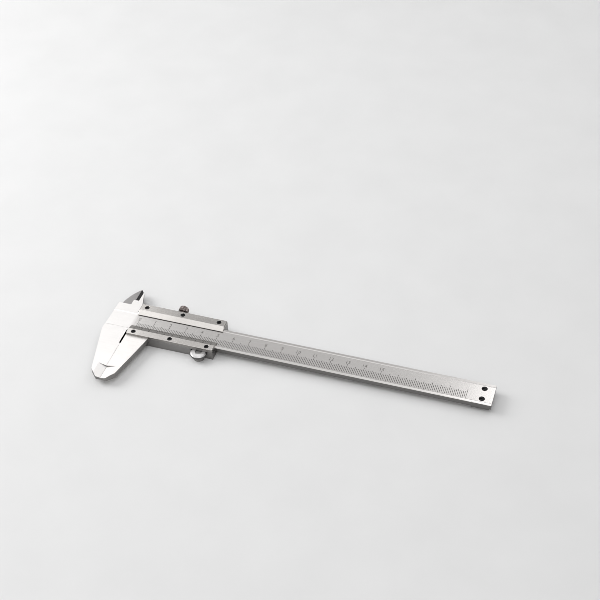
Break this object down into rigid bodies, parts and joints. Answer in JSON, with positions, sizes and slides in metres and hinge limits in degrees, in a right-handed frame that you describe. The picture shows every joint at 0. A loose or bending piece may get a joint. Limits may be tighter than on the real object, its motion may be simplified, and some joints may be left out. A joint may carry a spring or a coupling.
{
  "type": "vernier caliper",
  "caption": "Vernier caliper with outside jaws, crossing inside jaws, a sliding vernier frame, depth rod, knurled thumb roller and knurled lock screw.",
  "frame": {"origin": "zero point in the throat of the outside jaws: the plane where the outside measuring faces meet, at the beam's lower edge and in the middle of its thickness", "axes": "+X along the beam to its free end, which is the way the slider opens; +Y across the beam, towards the inside jaws; +Z out of the scale face"},
  "size_m": [0.2338, 0.0763, 0.0076],
  "materials": {
    "beam_steel": "satin ground stainless steel",
    "slider_steel": "satin ground stainless steel",
    "strip_steel": "brushed satin chrome",
    "rod_steel": "ground steel",
    "knurled_steel": "knurled and turned, plated",
    "black_oxide": "black oxide on steel",
    "brass": "rolled brass"
  },
  "bodies": {
    "beam": {"beam": "beam_steel", "end_stop_plate": "beam_steel", "end_stop_screws": "black_oxide"},
    "slider": {"slider_frame": "slider_steel", "upper_strip": "strip_steel", "upper_strip_screws": "black_oxide", "vernier_plate": "strip_steel", "vernier_plate_screws": "black_oxide", "back_cover": "strip_steel", "back_cover_screws": "black_oxide", "depth_rod": "rod_steel", "depth_rod_rivets": "rod_steel", "gib_screws": "black_oxide", "roller_axle": "rod_steel", "roller_washer": "rod_steel"},
    "gib": {"gib_strip": "brass"},
    "lock_screw": {"lock_screw": "knurled_steel"},
    "thumb_roller": {"thumb_roller": "knurled_steel", "roller_bush": "brass"}
  },
  "joints": [
    {"name": "slider_travel", "type": "slide", "parent": "beam", "child": "slider", "axis": [1, 0, 0], "range_m": [0, 0.15]},
    {"name": "gib_press", "type": "slide", "parent": "slider", "child": "gib", "axis": [0, -1, 0], "range_m": [0, 0.00025]},
    {"name": "lock_screw_turn", "type": "hinge", "parent": "gib", "child": "lock_screw", "pos_m": [0.025, 0.0172, 0], "axis": [0, -1, 0], "range_deg": [0, 180]},
    {"name": "roller_spin", "type": "hinge", "parent": "slider", "child": "thumb_roller", "pos_m": [0.0466, -0.0049, 0], "axis": [0, 0, 1], "range_deg": [0, 1800]}
  ],
  "couplings": [
    {"joint": "roller_spin", "follows": "slider_travel", "rad_per_m": 204.08},
    {"joint": "lock_screw_turn", "follows": "gib_press", "rad_per_m": 12566}
  ]
}
